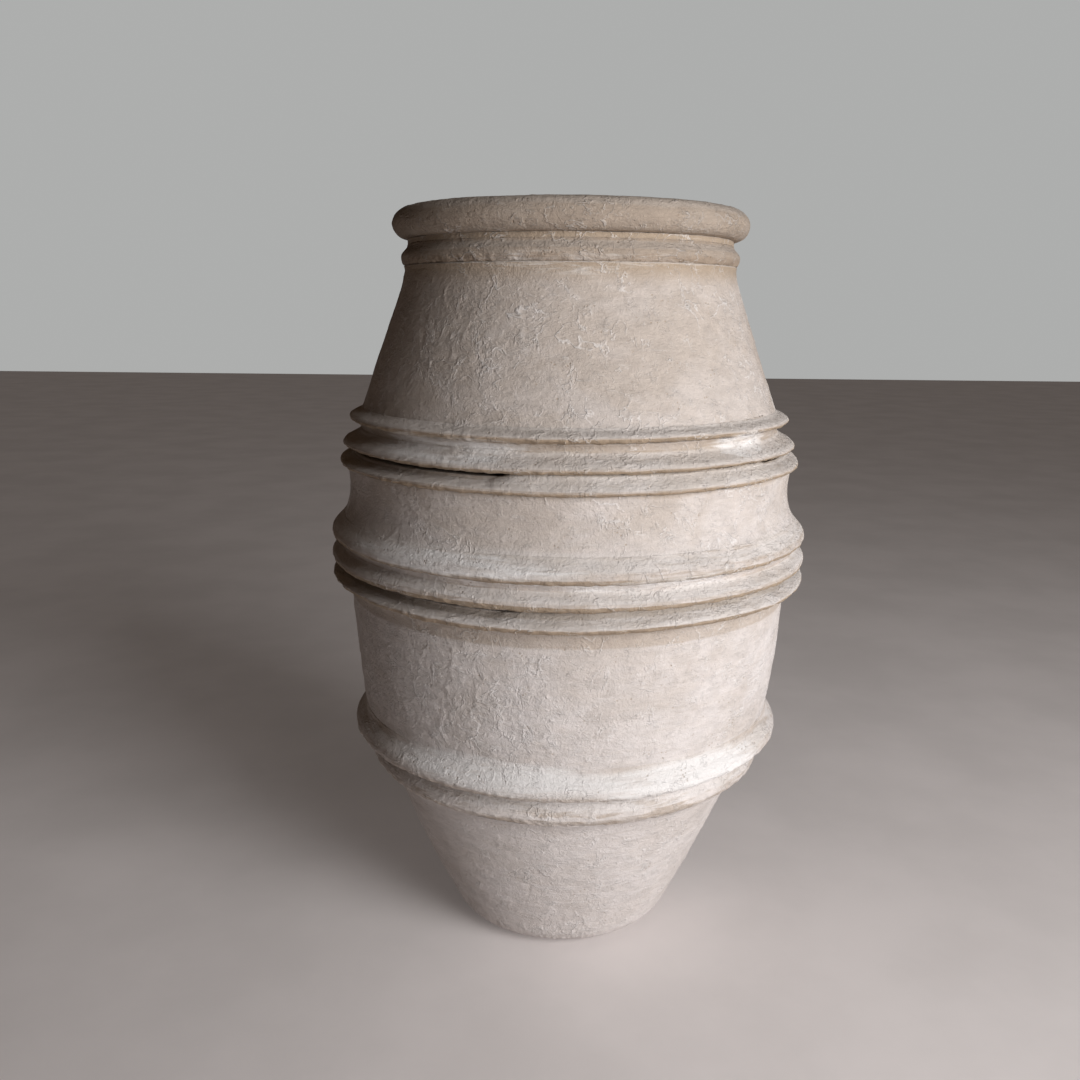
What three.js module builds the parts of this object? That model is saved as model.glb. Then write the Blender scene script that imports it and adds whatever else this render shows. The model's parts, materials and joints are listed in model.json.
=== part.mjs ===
// A large banded storage jar, built up from four turned clay sections that stack on lapped joints.
// A floor slab drops into the foot, a rolled rim keys onto the neck, and clay bands are laid round the
// joints. Every piece is a turned ring or disc. Millimetres, +Z up, origin at the centre of the
// resting face. Outlines are lists of [radius, level], written from the bottom upwards.

import * as THREE from 'three';

const FACETS = 40;
const CLEARANCE = 0.3;

// Straight steps in each curve of an outline.
const HEEL_STEPS = 5;
const FOOT_STEPS = 4;
const BELLY_STEPS = 5;
const FLARE_STEPS = 3;
const INSIDE_STEPS = 3;
const ROLL_STEPS = 7;
const LIP_STEPS = 3;
const UNDERCUT_STEPS = 3;
const SLOPE_STEPS = 4;

// Heights of the sections, from joint to joint, and of what stands on them.
const FOOT_HEIGHT = 317;
const BELLY_HEIGHT = 271;
const WAIST_HEIGHT = 171;
const SHOULDER_HEIGHT = 259;
const NECK_HEIGHT = 39;
const RIM_HEIGHT = 43;

// Outer radii.
const RESTING_RADIUS = 124;
const FOOT_TOP_RADIUS = 291;
const BELLY_FOOT_RADIUS = 308;
const BELLY_TOP_RADIUS = 333;
const WAIST_FOOT_RADIUS = 342;
const WAIST_RADIUS = 331.5;
const WAIST_TOP_RADIUS = 322;
const COLLAR_RADIUS = 311;
const NECK_RADIUS = 238;

// Curves of the outside: rounded heel, swell of the foot and belly, flare and collar of the upper half.
const HEEL_ROUNDING = 60;
const HEEL_ARC = 60;
const FOOT_SWELL = 7;
const BELLY_SWELL = 6;
const FLARE_RISE = 65;
const FLARE_DROP = 55;
const FLARE_SPREAD = 3;
const FLARE_HOLLOW = 3.5;
const COLLAR_HEIGHT = 54;

// Walls.
const WALL = 26;
const NECK_WALL = 24;
const SPLAY = 30;

// Lapped joint: the lower section's tongue stands inside the upper section's rebate, on a bed of lute.
const LAP_HEIGHT = 16;
const TONGUE_THICKNESS = 12;
const BED_HEIGHT = 5;
const LUTE_RECESS = 4;

// Floor slab with a flange that hangs on a ledge inside the heel.
const HEEL_RING_WIDTH = 16;
const SLAB_FLANGE_WIDTH = 26;
const SLAB_STEP = 16;
const SLAB_THICKNESS = 34;

// Rolled rim and its key on the neck.
const RIM_OVERHANG = 22;
const ROLL_REACH = 22.5;
const ROLL_UNDERCUT = -64;
const RIM_LIP = 12;
const KEY_WIDTH = 10;
const KEY_HEIGHT = 9;

// Bands: foot is the lower edge's distance from the nearest joint, nose the height of the roundest
// part above the foot, and projection how far the nose stands out from the wall.
const BAND_EDGE = 2;
const UPPER_BANDS = [
  { name: 'upper_band_1', foot: 40, nose: 7, height: 20, projection: 18 },
  { name: 'upper_band_2', foot: 2.5, nose: 7, height: 29.5, projection: 28 },
  { name: 'upper_band_3', foot: -22.5, nose: 7.5, height: 20, projection: 19 },
];
const MIDDLE_BANDS = [
  { name: 'middle_band_1', foot: 39, nose: 9, height: 35, projection: 15 },
  { name: 'middle_band_2', foot: 4, nose: 10, height: 30, projection: 18.5 },
  { name: 'middle_band_3', foot: -26, nose: 11, height: 23.5, projection: 27 },
];
const LOWER_BANDS = [
  { name: 'lower_band_1', foot: 4, nose: 11, height: 47, projection: 21 },
  { name: 'lower_band_2', foot: -47, nose: 16, height: 43, projection: 24.5 },
];
const BEAD = { name: 'neck_bead', foot: 2, nose: 13, height: 30, projection: 10.5 };

// Levels and radii that follow from the sizes above.
const FOOT_JOINT = FOOT_HEIGHT;
const BELLY_JOINT = FOOT_JOINT + BELLY_HEIGHT;
const WAIST_JOINT = BELLY_JOINT + WAIST_HEIGHT;
const NECK_FOOT = WAIST_JOINT + SHOULDER_HEIGHT;
const NECK_TOP = NECK_FOOT + NECK_HEIGHT;
const RIM_TOP = NECK_TOP + RIM_HEIGHT;
const MOUTH_RADIUS = NECK_RADIUS - NECK_WALL;

const clay = (color, roughness) => new THREE.MeshStandardMaterial({ color, roughness, metalness: 0 });
const LIMEWASH = clay(0xb9ab9c, 0.95);
const BAND_WASH = clay(0xc9bfb2, 0.93);
const RIM_WASH = clay(0xa8998a, 0.94);
const LUTE = clay(0x5e5044, 0.98);
const RAW_CLAY = clay(0x9c8470, 0.96);

const jar = new THREE.Group();

/** Turns a closed outline of [radius, level] points into a named ring or disc round +Z. */
function turn(name, outline, material) {
  const points = outline.map(([radius, level]) => new THREE.Vector2(radius, level));
  const geometry = new THREE.LatheGeometry(points, FACETS);
  geometry.rotateX(Math.PI / 2);
  const mesh = new THREE.Mesh(geometry, material);
  mesh.name = name;
  jar.add(mesh);
}

/** Points from low to high, bowed outwards by swell at the middle. */
function bowed([lowRadius, lowLevel], [highRadius, highLevel], swell, steps) {
  return Array.from({ length: steps + 1 }, (_, i) => {
    const t = i / steps;
    const radius = lowRadius + (highRadius - lowRadius) * t + 4 * swell * t * (1 - t);
    return [radius, lowLevel + (highLevel - lowLevel) * t];
  });
}

/** Points along an ellipse from one angle to another, in degrees, 0 outwards and 90 upwards. */
function ellipse([centreRadius, centreLevel], across, up, from, to, steps) {
  return Array.from({ length: steps + 1 }, (_, i) => {
    const angle = ((from + ((to - from) * i) / steps) * Math.PI) / 180;
    return [centreRadius + across * Math.cos(angle), centreLevel + up * Math.sin(angle)];
  });
}

/** Closes a ring: its outside upwards, its inside downwards, and back to the start. */
const ring = (outside, inside) => [...outside, ...[...inside].reverse(), outside[0]];

/** Radius of an outline at a level, carried on straight beyond its ends. */
function radiusAt(outline, level) {
  const above = outline.findIndex((point, i) => i > 0 && point[1] >= level);
  const next = above < 0 ? outline.length - 1 : above;
  const [lowRadius, lowLevel] = outline[next - 1];
  const [highRadius, highLevel] = outline[next];
  return lowRadius + ((highRadius - lowRadius) * (level - lowLevel)) / (highLevel - lowLevel);
}

/** The lapped joint between two sections whose outer radii at the joint are lower and upper. */
function lappedJoint(level, lower, upper) {
  const lip = Math.min(lower, upper);
  const inner = lip - WALL;
  const tongue = inner + TONGUE_THICKNESS;
  return { level, lower, upper, lip, inner, tongue };
}

const FOOT_LAP = lappedJoint(FOOT_JOINT, FOOT_TOP_RADIUS, BELLY_FOOT_RADIUS);
const BELLY_LAP = lappedJoint(BELLY_JOINT, BELLY_TOP_RADIUS, WAIST_FOOT_RADIUS);
const WAIST_LAP = lappedJoint(WAIST_JOINT, WAIST_TOP_RADIUS, COLLAR_RADIUS);

/** Where a section's outside meets the bed above it. */
const underBed = (joint) => [joint.lower, joint.level - BED_HEIGHT / 2];

/** Where a section's outside meets the bed below it. */
const overBed = (joint) => [joint.upper, joint.level + BED_HEIGHT / 2];

/** Outside of a lower section's end: from the bed, up the face of its tongue. */
const tongueFace = (joint) => [
  [joint.tongue, joint.level - BED_HEIGHT / 2],
  [joint.tongue, joint.level + LAP_HEIGHT],
];

/** Inside of a lower section's end, up to the tip of its tongue. */
const tongueBack = (joint) => [
  [joint.inner, joint.level - BED_HEIGHT / 2],
  [joint.inner, joint.level + LAP_HEIGHT],
];

/** Inside of an upper section's end: the rebate that the tongue stands in. */
const rebate = (joint) => [
  [joint.tongue + CLEARANCE, joint.level + BED_HEIGHT / 2],
  [joint.tongue + CLEARANCE, joint.level + LAP_HEIGHT + CLEARANCE],
  [joint.inner, joint.level + LAP_HEIGHT + CLEARANCE],
];

/** Floor slab, stepped so that its flange hangs on the ledge in the foot. */
function floorSlab() {
  const radius = RESTING_RADIUS - HEEL_RING_WIDTH;
  const flange = radius + SLAB_FLANGE_WIDTH;
  turn(
    'floor_slab',
    [
      [0, 0],
      [radius, 0],
      [radius, SLAB_STEP + CLEARANCE],
      [flange, SLAB_STEP + CLEARANCE],
      [flange, SLAB_THICKNESS],
      [0, SLAB_THICKNESS],
    ],
    RAW_CLAY,
  );
  return { radius: radius + CLEARANCE, flange: flange + CLEARANCE };
}

/** Foot: rounded heel and cone, with the slab's seat inside it. Returns its outside. */
function footSection(seat) {
  const heelCentre = [RESTING_RADIUS, HEEL_ROUNDING];
  const heel = ellipse(heelCentre, HEEL_ROUNDING, HEEL_ROUNDING, -90, HEEL_ARC - 90, HEEL_STEPS);
  const heelTop = heel.pop();
  const outside = [...heel, ...bowed(heelTop, underBed(FOOT_LAP), FOOT_SWELL, FOOT_STEPS)];
  const insideFoot = [heelTop[0] - WALL, Math.max(heelTop[1], SLAB_THICKNESS) + CLEARANCE];
  const insideTop = [FOOT_LAP.inner, FOOT_JOINT - BED_HEIGHT / 2];
  const inside = [
    [seat.radius, 0],
    [seat.radius, SLAB_STEP],
    [seat.flange, SLAB_STEP],
    [seat.flange, SLAB_THICKNESS],
    ...bowed(insideFoot, insideTop, FOOT_SWELL, INSIDE_STEPS),
    [FOOT_LAP.inner, FOOT_JOINT + LAP_HEIGHT],
  ];
  turn('foot_section', ring([...outside, ...tongueFace(FOOT_LAP)], inside), LIMEWASH);
  return outside;
}

/** Belly: a slightly swollen drum. Returns its outside. */
function bellySection() {
  const outside = bowed(overBed(FOOT_LAP), underBed(BELLY_LAP), BELLY_SWELL, BELLY_STEPS);
  const insideFoot = [BELLY_FOOT_RADIUS - WALL, FOOT_JOINT + LAP_HEIGHT + SPLAY];
  const insideTop = [BELLY_LAP.inner, BELLY_JOINT - BED_HEIGHT / 2];
  const inside = [
    ...rebate(FOOT_LAP),
    ...bowed(insideFoot, insideTop, BELLY_SWELL, INSIDE_STEPS),
    [BELLY_LAP.inner, BELLY_JOINT + LAP_HEIGHT],
  ];
  turn('belly_section', ring([...outside, ...tongueFace(BELLY_LAP)], inside), LIMEWASH);
  return outside;
}

/** Waist: drawn in above a flare that carries the middle bands. Returns its outside. */
function waistSection() {
  const flareFoot = [WAIST_FOOT_RADIUS + FLARE_SPREAD, BELLY_JOINT + FLARE_RISE];
  const flareTop = [WAIST_RADIUS, WAIST_JOINT - FLARE_DROP];
  const outside = [
    overBed(BELLY_LAP),
    ...bowed(flareFoot, flareTop, -FLARE_HOLLOW, FLARE_STEPS),
    [WAIST_RADIUS, WAIST_JOINT - SPLAY],
    underBed(WAIST_LAP),
  ];
  const inside = [
    ...rebate(BELLY_LAP),
    [WAIST_RADIUS - WALL, WAIST_JOINT - SPLAY],
    ...tongueBack(WAIST_LAP),
  ];
  turn('waist_section', ring([...outside, ...tongueFace(WAIST_LAP)], inside), LIMEWASH);
  return outside;
}

/** Shoulder: straight collar, cone and short neck, with the rim's key on top. Returns its outside. */
function shoulderSection(key) {
  const outside = [
    overBed(WAIST_LAP),
    [COLLAR_RADIUS, WAIST_JOINT + COLLAR_HEIGHT],
    [NECK_RADIUS, NECK_FOOT],
    [NECK_RADIUS, NECK_TOP],
  ];
  const top = [
    [key.outer, NECK_TOP],
    [key.outer, NECK_TOP + KEY_HEIGHT],
    [key.inner, NECK_TOP + KEY_HEIGHT],
    [key.inner, NECK_TOP],
  ];
  const inside = [
    ...rebate(WAIST_LAP),
    [COLLAR_RADIUS - WALL, WAIST_JOINT + COLLAR_HEIGHT],
    [MOUTH_RADIUS, NECK_FOOT],
    [MOUTH_RADIUS, NECK_TOP],
  ];
  turn('shoulder_section', ring([...outside, ...top], inside), LIMEWASH);
  return outside;
}

/** Rolled rim: round outside and top, upright mouth, and a flat underside grooved for the key. */
function rolledRim(key) {
  const underside = NECK_TOP + CLEARANCE;
  const up = (RIM_TOP - underside) / 2;
  const roll = [NECK_RADIUS + RIM_OVERHANG - ROLL_REACH, underside + up];
  const lip = [MOUTH_RADIUS + RIM_LIP, RIM_TOP - RIM_LIP];
  const outside = [
    ...ellipse(roll, ROLL_REACH, up, ROLL_UNDERCUT, 90, ROLL_STEPS),
    ...ellipse(lip, RIM_LIP, RIM_LIP, 90, 180, LIP_STEPS),
  ];
  const underlip = [
    [MOUTH_RADIUS, underside],
    [key.inner - CLEARANCE, underside],
    [key.inner - CLEARANCE, NECK_TOP + KEY_HEIGHT + CLEARANCE],
    [key.outer + CLEARANCE, NECK_TOP + KEY_HEIGHT + CLEARANCE],
    [key.outer + CLEARANCE, underside],
    [NECK_RADIUS, underside],
  ];
  turn('rolled_rim', [...outside, ...underlip, outside[0]], RIM_WASH);
}

/** How far a band's face stands out from its thin edges, from foot to top: undercut, nose, long slope. */
function bandFace({ foot, nose, height, projection }) {
  const swell = projection - BAND_EDGE;
  const undercut = ellipse([0, foot + nose], swell, nose, -90, 0, UNDERCUT_STEPS);
  const slope = Array.from({ length: SLOPE_STEPS }, (_, i) => {
    const t = (i + 1) / SLOPE_STEPS;
    return [(swell * (1 + Math.cos(Math.PI * t))) / 2, foot + nose + (height - nose) * t];
  });
  return [...undercut, ...slope];
}

/** A band laid on a wall: its back follows the wall, and its face is carried on the same line. */
function band(wall, size, datum) {
  const low = datum + size.foot;
  const high = low + size.height;
  const between = wall.filter(([, level]) => level > low && level < high);
  const back = [[radiusAt(wall, low), low], ...between, [radiusAt(wall, high), high]];
  const face = bandFace({ ...size, foot: low });
  turn(
    size.name,
    ring(
      face.map(([swell, level]) => [radiusAt(wall, level) + BAND_EDGE + swell, level]),
      back.map(([radius, level]) => [radius + CLEARANCE, level]),
    ),
    BAND_WASH,
  );
}

/** Bands round a joint: those with a positive foot lie on the wall above it. */
function bandsRound(joint, below, above, bands) {
  bands.forEach((size) => band(size.foot > 0 ? above : below, size, joint.level));
}

/** Ring of lute that fills the back of a joint's bed. */
function lute(name, joint) {
  const low = joint.level - BED_HEIGHT / 2 + CLEARANCE;
  const high = joint.level + BED_HEIGHT / 2 - CLEARANCE;
  const face = joint.lip - LUTE_RECESS;
  const back = joint.tongue + CLEARANCE;
  turn(name, ring([[face, low], [face, high]], [[back, low], [back, high]]), LUTE);
}

const rimKey = {
  inner: NECK_RADIUS - (NECK_WALL + KEY_WIDTH) / 2,
  outer: NECK_RADIUS - (NECK_WALL - KEY_WIDTH) / 2,
};
const foot = footSection(floorSlab());
const belly = bellySection();
const waist = waistSection();
const shoulder = shoulderSection(rimKey);
rolledRim(rimKey);
band(shoulder, BEAD, NECK_FOOT);
bandsRound(WAIST_LAP, waist, shoulder, UPPER_BANDS);
bandsRound(BELLY_LAP, belly, waist, MIDDLE_BANDS);
bandsRound(FOOT_LAP, foot, belly, LOWER_BANDS);
lute('upper_joint_lute', WAIST_LAP);
lute('middle_joint_lute', BELLY_LAP);
lute('lower_joint_lute', FOOT_LAP);

export default jar;
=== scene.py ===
"""Looks of a large banded storage jar: hand-laid clay under rough limewash, standing on a plain floor.

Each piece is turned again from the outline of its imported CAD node, at a fine pitch, and then worked as a
potter's hands would work it: leaned, pressed out of round, trowelled, flecked, cracked and pitted. One
relief covers the whole jar, so that strokes run on from piece to piece. Metres, +Z up. Angles round the
jar are in radians from +X; places named on it are azimuths in degrees from the front (-Y), positive
towards +X. Relief heights are in millimetres.
"""

import json
import math

import bpy
import numpy as np
from mathutils import Matrix, Vector


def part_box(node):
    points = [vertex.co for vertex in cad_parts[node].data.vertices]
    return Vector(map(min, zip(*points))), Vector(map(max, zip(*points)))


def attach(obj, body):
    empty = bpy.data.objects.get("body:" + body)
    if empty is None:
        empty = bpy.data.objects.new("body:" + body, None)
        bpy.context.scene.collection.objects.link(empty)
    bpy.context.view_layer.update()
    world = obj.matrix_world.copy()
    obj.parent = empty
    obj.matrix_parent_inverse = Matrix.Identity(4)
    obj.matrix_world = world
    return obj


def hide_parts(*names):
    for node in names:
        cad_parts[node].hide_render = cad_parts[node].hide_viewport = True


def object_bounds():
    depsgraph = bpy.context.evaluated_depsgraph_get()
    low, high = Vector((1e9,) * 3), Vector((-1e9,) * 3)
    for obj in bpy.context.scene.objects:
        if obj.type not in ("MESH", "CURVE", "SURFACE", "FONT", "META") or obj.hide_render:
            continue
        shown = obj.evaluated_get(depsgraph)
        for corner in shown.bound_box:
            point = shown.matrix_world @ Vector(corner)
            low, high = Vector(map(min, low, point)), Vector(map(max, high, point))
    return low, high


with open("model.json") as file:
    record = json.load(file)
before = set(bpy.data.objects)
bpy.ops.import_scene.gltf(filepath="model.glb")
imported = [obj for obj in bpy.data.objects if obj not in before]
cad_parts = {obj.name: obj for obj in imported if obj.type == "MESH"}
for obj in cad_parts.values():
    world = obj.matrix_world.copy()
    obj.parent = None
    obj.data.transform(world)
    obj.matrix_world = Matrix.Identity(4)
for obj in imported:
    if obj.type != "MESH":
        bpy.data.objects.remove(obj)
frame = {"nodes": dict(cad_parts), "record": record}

MM = 0.001
TAU = 2 * math.pi
CAD_LOW, CAD_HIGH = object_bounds()
random = np.random.default_rng(1907)

# ---------------------------------------------------------------------------------------------------
# Sizes
# ---------------------------------------------------------------------------------------------------

UPPER_BANDS = ["upper_band_1", "upper_band_2", "upper_band_3"]
MIDDLE_BANDS = ["middle_band_1", "middle_band_2", "middle_band_3"]
LOWER_BANDS = ["lower_band_1", "lower_band_2"]
BANDS = UPPER_BANDS + MIDDLE_BANDS + LOWER_BANDS
LAID_ON_WALL = BANDS + ["neck_bead"]

# How finely each piece is turned: columns round the jar, and pitch of the rows on its face in mm.
FINENESS = {
    "foot_section": (720, 2.5),
    "belly_section": (900, 2.3),
    "waist_section": (900, 2.2),
    "shoulder_section": (780, 2.2),
    "rolled_rim": (900, 1.5),
    "neck_bead": (840, 1.5),
    "floor_slab": (240, 6.0),
}
BAND_FINENESS = (960, 1.5)
LUTE_FINENESS = (480, 1.5)

# Pitch in mm of the rows that bands or the wall hide, and of the rows of the mouth and the neck inside.
HIDDEN_PITCH = 10.0
INNER_PITCH = 6.0

# The outline of a CAD node counts as sharp where it turns by more than this; other turns are smoothed.
SHARP_TURN = math.radians(60)

# Next to a turn of more than SLIGHT_TURN, a straight longer than this is smoothed only near its ends.
SLIGHT_TURN = math.radians(10)
LONG_STRAIGHT = 45 * MM
EASED_LENGTH = 12 * MM

# A disc's rows stop at this radius, and a small round face closes it.
CORE_RADIUS = 4 * MM

# A band's upper edge is thinned until it dives this far under the wall, so that no step is left there.
FEATHER_DIP = 0.4 * MM

# Clay smeared into the corner under a band, in mm: its thickness at the band's foot, and the drop over
# which it thins to about a third. Behind the band it ends SMEAR_TUCK above the band's foot.
SMEARS = {
    "neck_bead": (7.0, 12.0),
    "upper_band_1": (6.0, 5.0),
    "upper_band_3": (5.0, 7.0),
    "middle_band_1": (6.0, 5.0),
    "middle_band_3": (6.0, 8.0),
    "lower_band_2": (11.0, 12.0),
}
SMEAR_TUCK = 3.0

# Rows of the wall stay far apart from this far above a band's foot to this far below its upper edge.
COVER_MARGIN_LOW = 4 * MM
COVER_MARGIN_HIGH = 5 * MM

# Sideways lean of the built-up jar, as (level in m, shift towards +X in mm), and in mm how far it is
# pressed out of round and how far its level rings wave up and down.
LEAN = [(0.0, 1.0), (0.2, 0.6), (0.33, 1.2), (0.47, 2.0), (0.58, 1.0), (0.76, 0.2), (1.1, 0.0)]
OUT_OF_ROUND = 1.4
LEVEL_WAVE = 1.0


# ---------------------------------------------------------------------------------------------------
# Outlines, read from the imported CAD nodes
# ---------------------------------------------------------------------------------------------------

def cad_outline(node):
    """Closed outline of a turned CAD node in the half plane through +X, as [radius, level] points.

    It starts at the lowest outer corner, goes up the outside and comes back down the inside.
    """
    mesh = frame["nodes"][node].data
    neighbours = {}

    def join(first, second):
        neighbours.setdefault(first, []).append(second)
        neighbours.setdefault(second, []).append(first)

    joined = set()
    for edge in mesh.edges:
        ends = [mesh.vertices[i].co for i in edge.vertices]
        if all(abs(p.y) < MM / 100 and p.x > -MM / 100 for p in ends):
            first, second = [(round(p.x, 5), round(p.z, 5)) for p in ends]
            key = frozenset((first, second))
            if first != second and key not in joined:
                joined.add(key)
                join(first, second)
    on_axis = sorted(p for p in neighbours if p[0] < MM / 100)
    if on_axis:
        join(on_axis[0], on_axis[-1])
    walk = [min(neighbours, key=lambda p: (p[1], -p[0]))]
    walk.append(max(neighbours[walk[0]]))
    while len(walk) < len(neighbours):
        onward = [p for p in neighbours[walk[-1]] if p != walk[-2]]
        walk.append(onward[0])
    return np.array(walk)


def turns(loop):
    """Angle by which a closed outline turns at each of its points."""
    into = loop - np.roll(loop, 1, axis=0)
    out = np.roll(loop, -1, axis=0) - loop
    cross = into[:, 0] * out[:, 1] - into[:, 1] * out[:, 0]
    return np.abs(np.arctan2(cross, (into * out).sum(axis=1)))


def ease_long_straights(loop):
    """Adds points near the ends of long straight stretches, so that smoothing stays close to the turns."""
    turn = turns(loop)
    eased = []
    for i, point in enumerate(loop):
        following = (i + 1) % len(loop)
        stretch = loop[following] - point
        length = np.linalg.norm(stretch)
        eased.append(point)
        if length > LONG_STRAIGHT and max(turn[i], turn[following]) > SLIGHT_TURN:
            eased.append(point + stretch * EASED_LENGTH / length)
            eased.append(point + stretch * (1 - EASED_LENGTH / length))
    return np.array(eased)


def smooth_run(points, step=0.25 * MM):
    """A smooth curve through a run of points, as closely spaced points."""
    chords = np.linalg.norm(np.diff(points, axis=0), axis=1)
    knots = np.concatenate([[0.0], np.cumsum(np.sqrt(chords))])
    slopes = np.gradient(points, knots, axis=0)
    place = np.linspace(0, knots[-1], max(2, int(chords.sum() / step)) + 1)
    k = np.clip(np.searchsorted(knots, place, side="right") - 1, 0, len(knots) - 2)
    span = (knots[k + 1] - knots[k])[:, None]
    u = (place - knots[k])[:, None] / span
    start = points[k] * (2 * u**3 - 3 * u**2 + 1) + slopes[k] * span * (u**3 - 2 * u**2 + u)
    end = points[k + 1] * (3 * u**2 - 2 * u**3) + slopes[k + 1] * span * (u**3 - u**2)
    return start + end


def sharp_corners(loop, band):
    """Where an outline is sharp. On a band, whose face is one curve, that is at the ends of its back."""
    if band:
        back_top = max(range(len(loop)), key=lambda i: (loop[i][1], -loop[i][0]))
        return [back_top, len(loop) - 1]
    return [i for i, turn in enumerate(turns(loop)) if turn > SHARP_TURN]


def smooth_outline(loop, band):
    """Smooths an outline between its sharp corners. Returns its points and which of them are corners."""
    loop = ease_long_straights(loop)
    sharp = sharp_corners(loop, band)
    points, corners = [], []
    for i, first in enumerate(sharp):
        last = sharp[(i + 1) % len(sharp)]
        count = (last - first) % len(loop)
        run = smooth_run(loop[[(first + k) % len(loop) for k in range(count + 1)]])
        points.append(run[:-1])
        corners.append(np.arange(len(run) - 1) == 0)
    return np.concatenate(points), np.concatenate(corners)


BAND_BOXES = [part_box(name) for name in LAID_ON_WALL]
COVERS = [(low.z + COVER_MARGIN_LOW, high.z - COVER_MARGIN_HIGH) for low, high in BAND_BOXES]


def under_a_band(level):
    """Whether a level on the wall lies behind a band."""
    return np.any([(low < level) & (level < high) for low, high in COVERS], axis=0)


def unit_normals(points):
    """Outward normals of a closed outline."""
    along = np.roll(points, -1, axis=0) - np.roll(points, 1, axis=0)
    normals = np.stack([along[:, 1], -along[:, 0]], axis=1)
    return normals / np.linalg.norm(normals, axis=1, keepdims=True)


class Turning:
    """Rows of one piece's outline, from its lowest outer corner upwards and round."""

    def __init__(self, node, pitch):
        self.node = node
        self.band = node in LAID_ON_WALL
        loop = cad_outline(node)
        dense, corner = smooth_outline(loop, self.band)
        start = int(np.argmin(np.linalg.norm(dense - loop[0], axis=1)))
        dense = np.roll(dense, -start, axis=0)
        corner = np.roll(corner, -start)
        later_corners = np.flatnonzero(corner[1:]) + 1
        face_end = later_corners[0]
        on_face = np.arange(len(dense)) <= face_end
        if self.band:
            dense = self.feathered(dense, on_face)
        elif node.endswith("section"):
            dense = self.smeared(dense, on_face)
        keep = self.spaced(dense, corner, on_face, pitch)
        self.ring = dense[:, 0].min() > CORE_RADIUS
        if not self.ring:
            keep = self.from_the_axis(dense, keep)
        self.points = dense[keep]
        self.on_face = on_face[keep]
        self.normals = unit_normals(dense)[keep]
        steps = np.linalg.norm(np.diff(dense, axis=0, prepend=dense[:1]), axis=1)
        self.path = np.cumsum(steps)[keep]
        face = dense[on_face]
        self.low = face[:, 1].min()
        self.high = face[:, 1].max()
        self.face_length = steps[: face_end + 1].sum()
        self.nose_level = face[np.argmax(face[:, 0]), 1]
        self.dense_face = face

    def feathered(self, dense, on_face):
        """Thins a band's upper edge down into the wall."""
        face = dense[on_face]
        nose = face[np.argmax(face[:, 0]), 1]
        top = face[:, 1].max()
        back = dense[~on_face]
        edge = face[np.argmax(face[:, 1]), 0] - back[np.argmax(back[:, 1]), 0]
        climb = np.clip((dense[:, 1] - nose) / (top - nose), 0, 1)
        thinned = dense.copy()
        thinning = climb**3 if self.node in SLOT_GAPES else smoothstep(0.15, 0.9, climb)
        on_slope = (edge + 2 * FEATHER_DIP) * thinning
        thinned[:, 0] -= np.where(on_face, on_slope, 2.5 * FEATHER_DIP * climb**8)
        return thinned

    def smeared(self, dense, on_face):
        """Fills the corner under each band's foot with a little clay smeared onto the wall."""
        filled = dense.copy()
        for band, (thickness, drop) in SMEARS.items():
            below = (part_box(band)[0].z - dense[:, 1]) / MM
            fill = thickness * np.where(below > 0, np.exp(-below / drop), 1 + below / SMEAR_TUCK)
            filled[:, 0] += np.where(on_face, np.clip(fill, 0, None), 0) * MM
        return filled

    def from_the_axis(self, dense, keep):
        """Rows of a disc, from the middle of its underside round to the middle of its top."""
        keep = keep[dense[keep, 0] > CORE_RADIUS]
        underside = keep[dense[keep, 1] < MM]
        start = underside[np.argmin(dense[underside, 0])]
        return np.roll(keep, -int(np.flatnonzero(keep == start)[0]))

    def spaced(self, dense, corner, on_face, pitch):
        """Picks rows: close together on the face, and far apart behind bands and inside the wall."""
        seen_inside = self.node in ("shoulder_section", "rolled_rim")
        gap = np.where(on_face, pitch, INNER_PITCH if seen_inside else HIDDEN_PITCH)
        if not self.band and self.node.endswith("section"):
            gap = np.where(on_face & under_a_band(dense[:, 1]), HIDDEN_PITCH, gap)
        steps = np.linalg.norm(np.diff(dense, axis=0, append=dense[:1]), axis=1)
        run = np.concatenate([[0.0], np.cumsum(steps / (gap * MM))[:-1]])
        row = np.floor(run)
        new_row = np.concatenate([[True], np.diff(row) > 0])
        return np.flatnonzero(new_row | corner)


# ---------------------------------------------------------------------------------------------------
# Relief: one canvas round the whole jar
# ---------------------------------------------------------------------------------------------------

CANVAS_COLUMNS = 1760
CANVAS_ROWS = 960
CANVAS_HEIGHT = 1.2
CELL = CANVAS_HEIGHT / CANVAS_ROWS


def spline_weights(samples, cells, wraps):
    """Matrix that spreads `cells` random values smoothly over `samples` places."""
    place = np.arange(samples) * cells / samples
    cell = np.floor(place).astype(int)
    t = place - cell
    weights = [(1 - t) ** 3, 3 * t**3 - 6 * t**2 + 4, 1 + 3 * t + 3 * t**2 - 3 * t**3, t**3]
    matrix = np.zeros((samples, cells if wraps else cells + 3))
    for k, weight in enumerate(weights):
        column = (cell + k - 1) % cells if wraps else cell + k
        matrix[np.arange(samples), column] += weight / 6
    return matrix


def cloud(across, up):
    """Smooth noise on the canvas, about -1 to 1, with that many cells round the jar and up it."""
    rows = spline_weights(CANVAS_ROWS, up, wraps=False)
    columns = spline_weights(CANVAS_COLUMNS, across, wraps=True)
    values = random.uniform(-2, 2, (up + 3, across))
    return rows @ values @ columns.T


def ripple(waves, samples):
    """Smooth noise round one ring, about -1 to 1."""
    return spline_weights(samples, waves, wraps=True) @ random.uniform(-1.5, 1.5, waves)


def smoothstep(low, high, value):
    """0 below low, 1 above high, and smooth between them."""
    t = np.clip((value - low) / (high - low), 0, 1)
    return t * t * (3 - 2 * t)


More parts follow.
